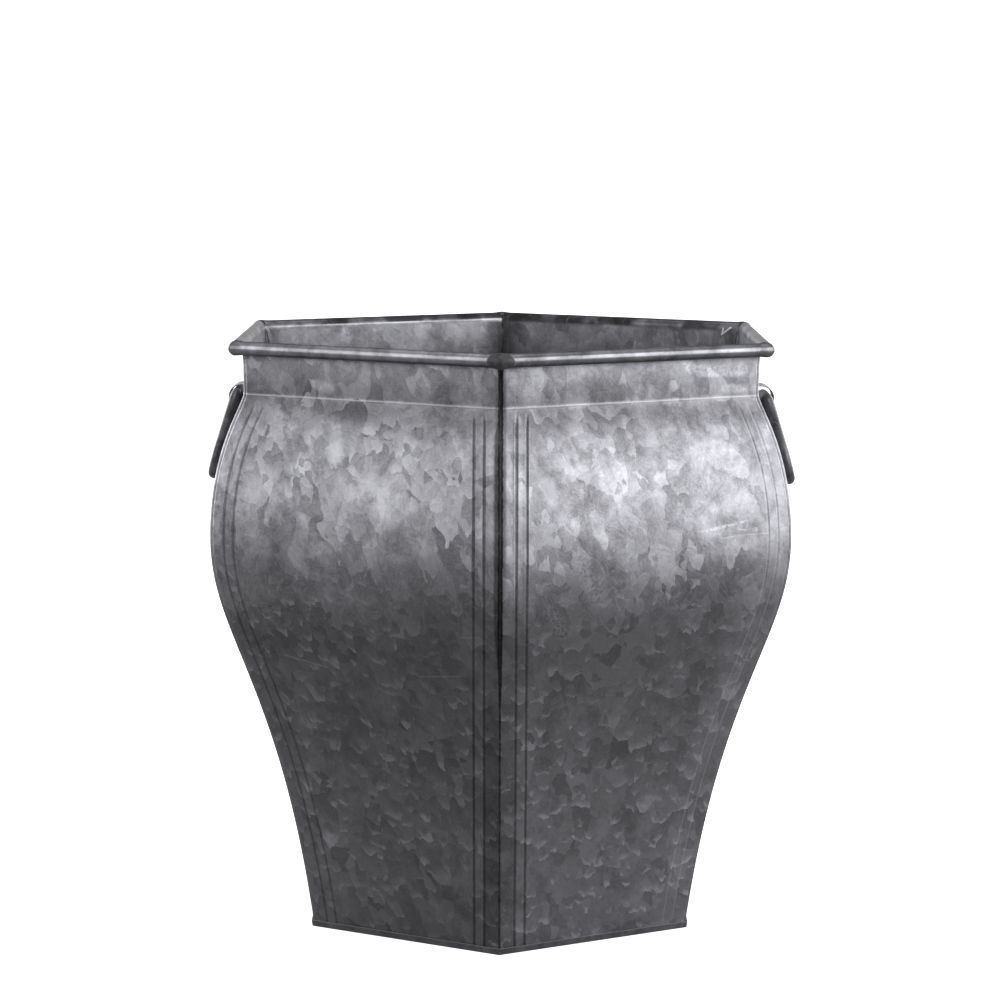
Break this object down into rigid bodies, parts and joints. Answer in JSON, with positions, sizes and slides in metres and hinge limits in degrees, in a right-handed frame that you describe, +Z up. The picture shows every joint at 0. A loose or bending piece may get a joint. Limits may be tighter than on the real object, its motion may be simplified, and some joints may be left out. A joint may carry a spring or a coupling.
{
  "type": "florist bucket",
  "caption": "Hexagonal galvanised bucket with a full belly, pressed grooves, a rolled wire rim, soldered corners and a drop handle hung in a riveted strap on each of two opposite walls.",
  "frame": {"origin": "on the ground, under the centre of the foot", "axes": "+Z up; one upright corner faces -Y, and the handles hang on the +X and -X walls"},
  "size_m": [0.4, 0.439, 0.4006],
  "materials": {
    "zinc_sheet": "galvanised, mottled with spangle",
    "pan_zinc": "galvanised, dull",
    "solder": "matt grey solder",
    "dark_solder": "blackened solder and flux",
    "rim_wire_steel": "bright drawn wire",
    "handle_bar": "smooth dark grey",
    "strap_zinc": "galvanised, bright"
  },
  "bodies": {
    "bucket": {"base_pan": "pan_zinc", "base_solder": "solder", "wall_right": "zinc_sheet", "wall_back_right": "zinc_sheet", "wall_back_left": "zinc_sheet", "wall_left": "zinc_sheet", "wall_front_left": "zinc_sheet", "wall_front_right": "zinc_sheet", "rim_wire": "rim_wire_steel", "corner_seam_front": "dark_solder", "corner_seam_front_right": "dark_solder", "corner_seam_back_right": "dark_solder", "corner_seam_back": "dark_solder", "corner_seam_back_left": "dark_solder", "corner_seam_front_left": "dark_solder", "rim_corner_front": "solder", "rim_corner_front_right": "solder", "rim_corner_back_right": "solder", "rim_corner_back": "solder", "rim_corner_back_left": "solder", "rim_corner_front_left": "solder", "handle_strap_left": "strap_zinc", "strap_rivet_left_upper": "strap_zinc", "strap_rivet_left_lower": "strap_zinc", "handle_strap_right": "strap_zinc", "strap_rivet_right_upper": "strap_zinc", "strap_rivet_right_lower": "strap_zinc"},
    "handle_left": {"handle_ring_left": "handle_bar"},
    "handle_right": {"handle_ring_right": "handle_bar"}
  },
  "joints": [
    {"name": "left_handle_swing", "type": "hinge", "parent": "bucket", "child": "handle_left", "pos_m": [-0.18057, 0, 0.35763], "axis": [0, 1, 0], "range_deg": [0, 160]},
    {"name": "right_handle_swing", "type": "hinge", "parent": "bucket", "child": "handle_right", "pos_m": [0.18146, 0, 0.35496], "axis": [0, -1, 0], "range_deg": [0, 161]}
  ]
}
